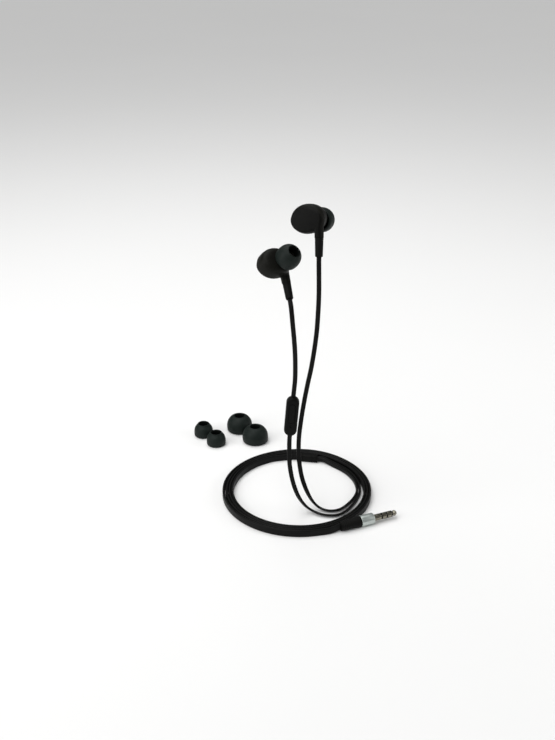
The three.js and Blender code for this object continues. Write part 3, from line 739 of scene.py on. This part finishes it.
def plate_field(x, z):
    """The raised plate of the rear cover's face, set in from the top and along the stem's side."""
    top = np.clip((z - PLATE_TOP_START) / PLATE_TOP_RISE, 0, 1)
    moved = outline_field(x + PLATE_SHIFT_X, z + PLATE_DROP_Z * top)
    return moved + PLATE_INSET + PLATE_TOP_INSET * top


def rear_cover_field(x, y, z):
    """The flat rear half with its plate, hollow inside and open at the stem's end."""
    face = FACE_Y + PLATE_HEIGHT + FACE_CROWN * (x**2 + z**2) / CROWN_REACH**2
    solid = common(outline_field(x, z), face - y, FACE_EDGE)
    plate = common(plate_field(x, z), face - PLATE_HEIGHT - y, PLATE_EDGE)
    solid = union(solid, common(plate, y - PLATE_ROOT_Y, 0.1), 0.12)
    solid = common(solid, y - (PARTING_Y - SEAM), SEAM_EASE)
    solid = common(solid, STEM_SPLIT_Z - z)
    hollow = common(outline_field(x, z) + WALL, face + WALL + 0.1 - y, HOLLOW_EDGE)
    hollow = common(hollow, STEM_SPLIT_Z + WALL - z)
    return common(solid, -hollow)


def front_shell_field(x, y, z):
    """The domed shell: its neck, its nozzle with a lip, and the hollow that the nozzle opens into."""
    body = body_field(x, y, z)
    off_axis = np.hypot(x - NOZZLE_X, z - NOZZLE_Z)
    flared = off_axis - (NECK_R + NECK_FLARE * (NECK_END_Y - y))
    neck = common(common(flared, y - NECK_END_Y, 0.5), NECK_START_Y - y, 0.3)
    tube = common(off_axis - NOZZLE_R, y - NOZZLE_END_Y, 0.25)
    lip = np.hypot(off_axis - LIP_RING_R, y - LIP_Y) - LIP_ROUND_R
    tube = common(union(tube, lip, LIP_BLEND), NOZZLE_START_Y - y)
    solid = union(union(body, neck, NECK_BLEND), tube, LIP_BLEND)
    solid = common(solid, (PARTING_Y + SEAM) - y, SEAM_EASE)
    solid = common(solid, STEM_SPLIT_Z - z)
    bore = common(off_axis - NOZZLE_BORE_R, NOZZLE_BORE_START_Y - y)
    return common(solid, -union(body + WALL + 0.1, bore))


# Shares of an eartip's radius and height: up the dome to the mouth, and down inside the skirt.
DOME = ((0.965, 0.07), (1, 0.22), (1, 0.38), (0.97, 0.54), (0.895, 0.7), (0.78, 0.83), (0.65, 0.925))
SKIRT = ((0.88, 0.63), (0.965, 0.51), (1, 0.36), (1, 0.2), (0.965, 0.07), (0.9, 0.012))


def eartip_outline(size):
    """The eartip's outline, from its rim over the dome, down the bore and back inside the skirt."""
    radius, height = TIPS[size]
    dome = [(radius * r, height * y) for r, y in DOME]
    mouth = [
        (TIP_BORE_R + 1.0, height * 0.98), (TIP_BORE_R + 0.72, height * 1.0),
        (TIP_BORE_R + 0.52, height * 0.997), (TIP_BORE_R + 0.4, height - 0.18),
        (TIP_BORE_R + 0.12, height - 0.55),
    ]
    bore = [(TIP_BORE_R, height - 1.1), (TIP_BORE_R, height * 0.5), (TIP_BORE_R, height * 0.2)]
    core = [
        (TIP_BORE_R + 0.1, height * 0.15), (TIP_CORE_R - 0.1, height * 0.15),
        (TIP_CORE_R, height * 0.2), (TIP_CORE_R, height * 0.45), (TIP_CORE_R + 0.05, height * 0.62),
    ]
    skirt = [(radius * r - TIP_SKIN, height * y) for r, y in SKIRT]
    rim = [(radius * 0.88 - 0.25, 0.0), (radius * 0.9, height * 0.02)]
    outline = [*dome, *mouth, *bore, *core, (radius * 0.74, height * 0.7), *skirt, *rim]
    return catmull(outline, TIP_STEP, closed=True)


def eartip(name, size, matrix, at, body):
    """An eartip whose bore is painted darker, as painted shade inside its hollow, standing on its rim at a
    place in the matrix's axes.
    """
    points, faces = lathe(eartip_outline(size))
    piece = mesh_piece(name, points + np.array(at), faces, matrix, SILICONE, [body], body)
    # The faces round the bore get the darker material: painted shade inside the eartip's hollow.
    two_tone(piece, BORE_SHADE, lambda x, y, z: np.hypot(x, z) < TIP_BORE_R + 0.5, points, faces)


def spun(name, outline, matrix, made, cad_node, segments=96, at=(0, 0, 0), upright=False):
    """A piece turned about its Y axis, which stands along Z if it is upright."""
    points, faces = lathe(rounded(outline), segments)
    if upright:
        points = points[:, [0, 2, 1]] * np.array((1, -1, 1))
    piece = mesh_piece(name, points + np.array(at), faces, matrix, made, [cad_node])
    return piece


COVER_MESH = surface(rear_cover_field, (-10, -5, -10), (9.5, -2, 9), BUD_STEP)
SHELL_MESH = surface(front_shell_field, (-10, -2.4, -10), (9.5, 10.6, 9), BUD_STEP)
SLEEVE = [
    (SLEEVE_BORE_R, STEM_SPLIT_Z - 0.05, 0), (STEM_R - 0.06, STEM_SPLIT_Z - 0.05, 0.15),
    (STEM_R - 0.1, STEM_SPLIT_Z - 1.0, 0.1), (STEM_R - 0.2, STEM_SPLIT_Z - 1.12, 0.08),
    (STEM_R - 0.2, STEM_SPLIT_Z - 1.3, 0.08), (STEM_R - 0.12, STEM_SPLIT_Z - 1.42, 0.1),
    (SLEEVE_END_R, STEM_END_Z + 0.3, 0.35), (SLEEVE_END_R - 0.25, STEM_END_Z, 0.15),
    (SLEEVE_BORE_R, STEM_END_Z, 0.1),
]
for side, matrix in (("right", RIGHT_FRAME), ("left", LEFT_FRAME)):
    cover = mesh_piece(f"{side}_cover", *COVER_MESH, matrix, COVER, [f"{side}_rear_cover"])
    two_tone(cover, SHELL, lambda x, y, z: plate_field(x, z) > 0.02, *COVER_MESH)
    shell = mesh_piece(f"{side}_shell", *SHELL_MESH, matrix, SHELL, [f"{side}_front_shell"])
    spun(
        f"{side}_sleeve", SLEEVE, matrix, RUBBER, f"{side}_stem_sleeve",
        segments=64, at=(STEM_X, PARTING_Y, 0), upright=True,
    )
    eartip(f"{side}_tip", "medium", matrix, (NOZZLE_X, TIP_BASE_Y, NOZZLE_Z), f"{side}_eartip")
for name, (size, at) in SPARES.items():
    upright = placed((1, 0, 0), (0, 0, 1), (0, -1, 0), (*at, 0))
    eartip(name + "_skin", size, upright, (0, 0, 0), name)


# ---------------------------------------------------------------- remote
def pill(x, y, z, width, length, depth, edge):
    """A plate with round ends and eased edges."""
    flat = np.hypot(x, np.maximum(np.abs(z) - (length - width) / 2, 0)) - width / 2
    return common(flat, np.abs(y) - depth / 2, edge)


def remote_body(x, y, z):
    return pill(x, y, z, REMOTE_WIDTH, REMOTE_LENGTH, REMOTE_DEPTH, REMOTE_EDGE)


def remote_hollow(x, y, z):
    wall = 2 * REMOTE_WALL
    return pill(x, y, z, REMOTE_WIDTH - wall, REMOTE_LENGTH - wall, REMOTE_DEPTH - 1.6, 0.4)


def remote_front_field(x, y, z):
    """The half with the raised panel, the button's opening and the microphone's hole."""
    width, length = REMOTE_WIDTH - 2 * PANEL_INSET_X, REMOTE_LENGTH - 2 * PANEL_INSET_Z
    panel = pill(x, y + REMOTE_DEPTH / 2 + PANEL_PROUD - 0.5, z, width, length, 1.0, 0.25)
    button = pill(x, y + 2, z - BUTTON_Z, BUTTON_WIDTH, BUTTON_LENGTH, 6, 0.1)
    sound = np.hypot(x, z - MICROPHONE_Z) - MICROPHONE_R
    solid = common(union(remote_body(x, y, z), panel, 0.25), y + REMOTE_SEAM, 0.16)
    solid = common(solid, -common(button, y - 1.5, 0.1), 0.18)
    solid = common(solid, -common(sound, y, 0.1), 0.12)
    return common(solid, -remote_hollow(x, y, z))


def remote_back_field(x, y, z):
    solid = common(remote_body(x, y, z), REMOTE_SEAM - y, 0.16)
    return common(solid, -remote_hollow(x, y, z))


def button_field(x, y, z):
    """A cap with a dimple, on a flange wider than the opening."""
    top = -REMOTE_DEPTH / 2 - BUTTON_PROUD
    width, length = BUTTON_WIDTH - 2 * BUTTON_GAP, BUTTON_LENGTH - 2 * BUTTON_GAP
    cap = pill(x, y - top - BUTTON_DEPTH / 2, z, width, length, BUTTON_DEPTH, 0.3)
    dimple = np.sqrt(x**2 + (y - top + DIMPLE_R - DIMPLE_DEPTH) ** 2 + z**2) - DIMPLE_R
    width, length = BUTTON_WIDTH + 2 * FLANGE_REACH, BUTTON_LENGTH + 2 * FLANGE_REACH
    flange = pill(x, y - FLANGE_Y, z, width, length, FLANGE_THICK, 0.08)
    return union(common(cap, -dimple), flange, 0.05)


remote_half = np.array((REMOTE_WIDTH / 2, REMOTE_DEPTH / 2 + 0.3, REMOTE_LENGTH / 2))
remote_pieces = []
for name, field, body, made, slot, cad_node, at in (
    ("remote_front", remote_front_field, "earphones", COVER, "shell", "remote_front_shell", 0),
    ("remote_back", remote_back_field, "earphones", SHELL, "shell", "remote_back_shell", 0),
    ("remote_button_cap", button_field, "remote_button", RUBBER, "rubber", "remote_button", BUTTON_Z),
):
    points, faces = surface(field, -remote_half, remote_half, REMOTE_STEP)
    piece = mesh_piece(name, points + np.array((0, 0, at)), faces, REMOTE_FRAME, made, [cad_node], body)
    remote_pieces.append(piece)


# ---------------------------------------------------------------- splitter
def splitter_field(x, y, z):
    """A bar with eased edges and shallow grooves round both ends."""
    grooved = (np.abs(x) > GROOVE_START_X) * (np.abs(x) < GROOVE_END_X)
    inset = GROOVE_DEPTH * (np.cos(x * 2 * math.pi / GROOVE_PITCH) > 0.3) * grooved
    a = np.abs(x) - SPLITTER_LENGTH / 2
    b = np.abs(y) - SPLITTER_WIDTH / 2 + inset
    c = np.abs(z) - SPLITTER_HEIGHT / 2 + inset * 0.6
    return common(common(b, c, 1.0), a, 0.5)


splitter_half = np.array((SPLITTER_LENGTH, SPLITTER_WIDTH, SPLITTER_HEIGHT)) / 2
points, faces = surface(splitter_field, -splitter_half, splitter_half, SPLITTER_STEP)
splitter = mesh_piece("splitter", points, faces, SPLITTER_FRAME, RUBBER, ["splitter_body"])


# ---------------------------------------------------------------- plug
def boot_outline():
    """The boot widens towards the collar and has grooves at its cable end."""
    outline = [(BOOT_BORE_R, 0.0, 0), (BOOT_START_R - 0.1, 0.0, 0.35), (BOOT_START_R, 0.5, 0.3)]
    for k in range(BOOT_GROOVES):
        y = BOOT_GROOVE_Y + k * BOOT_GROOVE_PITCH
        r = BOOT_START_R + (BOOT_END_R - BOOT_START_R) * y / BOOT_LENGTH
        floor_r = r - BOOT_GROOVE_DEPTH
        outline += [(r, y, 0.1), (floor_r, y + 0.12, 0.1), (floor_r, y + 0.34, 0.1), (r, y + 0.46, 0.1)]
    outline += [(BOOT_END_R, BOOT_LENGTH - 0.5, 0.3), (BOOT_END_R, BOOT_LENGTH, 0.12)]
    return outline + [(BOOT_BORE_R, BOOT_LENGTH, 0)]


def collar_outline(start, end):
    return [
        (COLLAR_BORE_R, start, 0), (COLLAR_R - 0.12, start, 0.1), (COLLAR_R, start + 0.14, 0.12),
        (COLLAR_R, end - 0.42, 0.15), (COLLAR_R - 0.4, end, 0.15), (COLLAR_BORE_R + 0.05, end, 0.08),
        (COLLAR_BORE_R, end - 0.1, 0),
    ]


def band_outline(start, end):
    return [(PIN_BORE_R, start, 0), (PIN_R, start, 0.05), (PIN_R, end, 0.05), (PIN_BORE_R, end, 0)]


def tip_outline(start, end):
    """The tip's waist, its shoulder and its blunt point."""
    socket = end - 2.3
    return [
        (PIN_BORE_R, start, 0), (PIN_R - 0.25, start, 0.05), (PIN_R - 0.62, start + 0.62, 0.35),
        (PIN_R, start + 1.5, 0.5), (PIN_R - 0.85, end - 0.25, 0.3), (0.45, end, 0.25), (0, end, 0),
        (0, socket, 0), (PIN_BORE_R, socket, 0),
    ]


collar_start = BOOT_LENGTH + COLLAR_GAP
collar_end = collar_start + COLLAR_LENGTH
sleeve_end, ring_2_end, ring_1_end = (collar_end + y for y in CONTACT_ENDS)
plug_pieces = []
for name, outline, made, slot, segments in (
    ("plug_boot", boot_outline(), RUBBER, "rubber", 96),
    ("plug_collar", collar_outline(collar_start, collar_end), ALUMINIUM, "aluminium", 128),
    ("plug_contact_sleeve", band_outline(collar_end, sleeve_end), NICKEL, "contact", 64),
    ("plug_contact_ring_2", band_outline(sleeve_end + RING_GAP, ring_2_end), NICKEL, "contact", 64),
    ("plug_contact_ring_1", band_outline(ring_2_end + RING_GAP, ring_1_end), NICKEL, "contact", 64),
    ("plug_contact_tip", tip_outline(ring_1_end + RING_GAP, collar_end + PIN_LENGTH), NICKEL, "contact", 64),
):
    plug_pieces.append(spun(name + "_skin", outline, PLUG_FRAME, made, name, segments))


# ---------------------------------------------------------------- inner pieces, in their CAD shapes
FINISHES = {
    "seal_ring": RUBBER, "nozzle_screen": screen_mesh(), "driver_frame": PLASTIC, "driver_magnet": STEEL,
    "driver_voice_coil": COPPER, "driver_diaphragm": amber_film(), "cable_crimp": COPPER,
    "remote_circuit_board": board_mask(), "remote_switch": STEEL, "remote_microphone": STEEL,
    "plug_moulding": PLASTIC, "plug_insulator": PLASTIC,
}
nodes = frame["nodes"]
for name, node in nodes.items():
    for ending, made in FINISHES.items():
        if name.endswith(ending):
            node.data.materials.clear()
            node.data.materials.append(made)

# ---------------------------------------------------------------- the remote's and the plug's pieces, gathered into lists
remote_pieces += [nodes[n] for n in ("remote_circuit_board", "remote_switch", "remote_microphone")]
plug_pieces += [nodes[n] for n in ("plug_moulding", "plug_insulator")]

# ---------------------------------------------------------------- floor, light and camera
AMBIENT, BACKDROP = 0.16, 0.8
AIM = (-0.02, 0.0, -0.07)
CAMERA_AT, CAMERA_DOWN, CAMERA_LENS = (-11.4, -519.06, 324.96), 25.6, 53.3

bpy.ops.mesh.primitive_plane_add(size=30, location=(0, 0, -ORIGIN[2] * MM))
floor = bpy.context.object
floor.name = "floor"
floor.data.materials.append(pale_floor())

world = bpy.data.worlds.new("studio")
world.use_nodes = True
sky = world.node_tree.nodes["Background"]
sky.inputs["Color"].default_value = (1, 1, 1, 1)
light_path = world.node_tree.nodes.new("ShaderNodeLightPath")
strength = world.node_tree.nodes.new("ShaderNodeMapRange")
strength.inputs["To Min"].default_value = AMBIENT
strength.inputs["To Max"].default_value = BACKDROP
world.node_tree.links.new(light_path.outputs["Is Camera Ray"], strength.inputs["Value"])
world.node_tree.links.new(strength.outputs["Result"], sky.inputs["Strength"])
bpy.context.scene.world = world


def soft_light(name, at, size, watts):
    """A square softbox aimed at the middle of the earphones, in metres."""
    light = bpy.data.lights.new(name, "AREA")
    light.size = size
    light.energy = watts
    lamp = bpy.data.objects.new(name, light)
    lamp.location = at
    lamp.rotation_mode = "QUATERNION"
    lamp.rotation_quaternion = (Vector(AIM) - Vector(at)).to_track_quat("-Z", "Y")
    bpy.context.scene.collection.objects.link(lamp)


soft_light("softbox_above", (-0.15, 0.25, 0.6), 0.6, 3)
soft_light("softbox_left", (-0.7, -0.3, 0.15), 0.5, 2)
soft_light("softbox_right", (0.7, -0.1, 0.2), 0.35, 1.2)
sun = bpy.data.objects.new("sun", bpy.data.lights.new("sun", "SUN"))
sun.data.energy = 1.85
sun.data.angle = math.radians(60)
sun.rotation_euler = (math.radians(28), math.radians(-22), 0)
bpy.context.scene.collection.objects.link(sun)

camera = bpy.data.objects.new("camera", bpy.data.cameras.new("camera"))
camera.data.sensor_width = 36
camera.data.lens = CAMERA_LENS
camera.data.clip_end = 20
camera.location = (np.array(CAMERA_AT) - ORIGIN) * MM
camera.rotation_euler = (math.radians(90 - CAMERA_DOWN), 0, 0)
bpy.context.scene.collection.objects.link(camera)
bpy.context.scene.camera = camera
bpy.context.scene.view_settings.view_transform = "Standard"
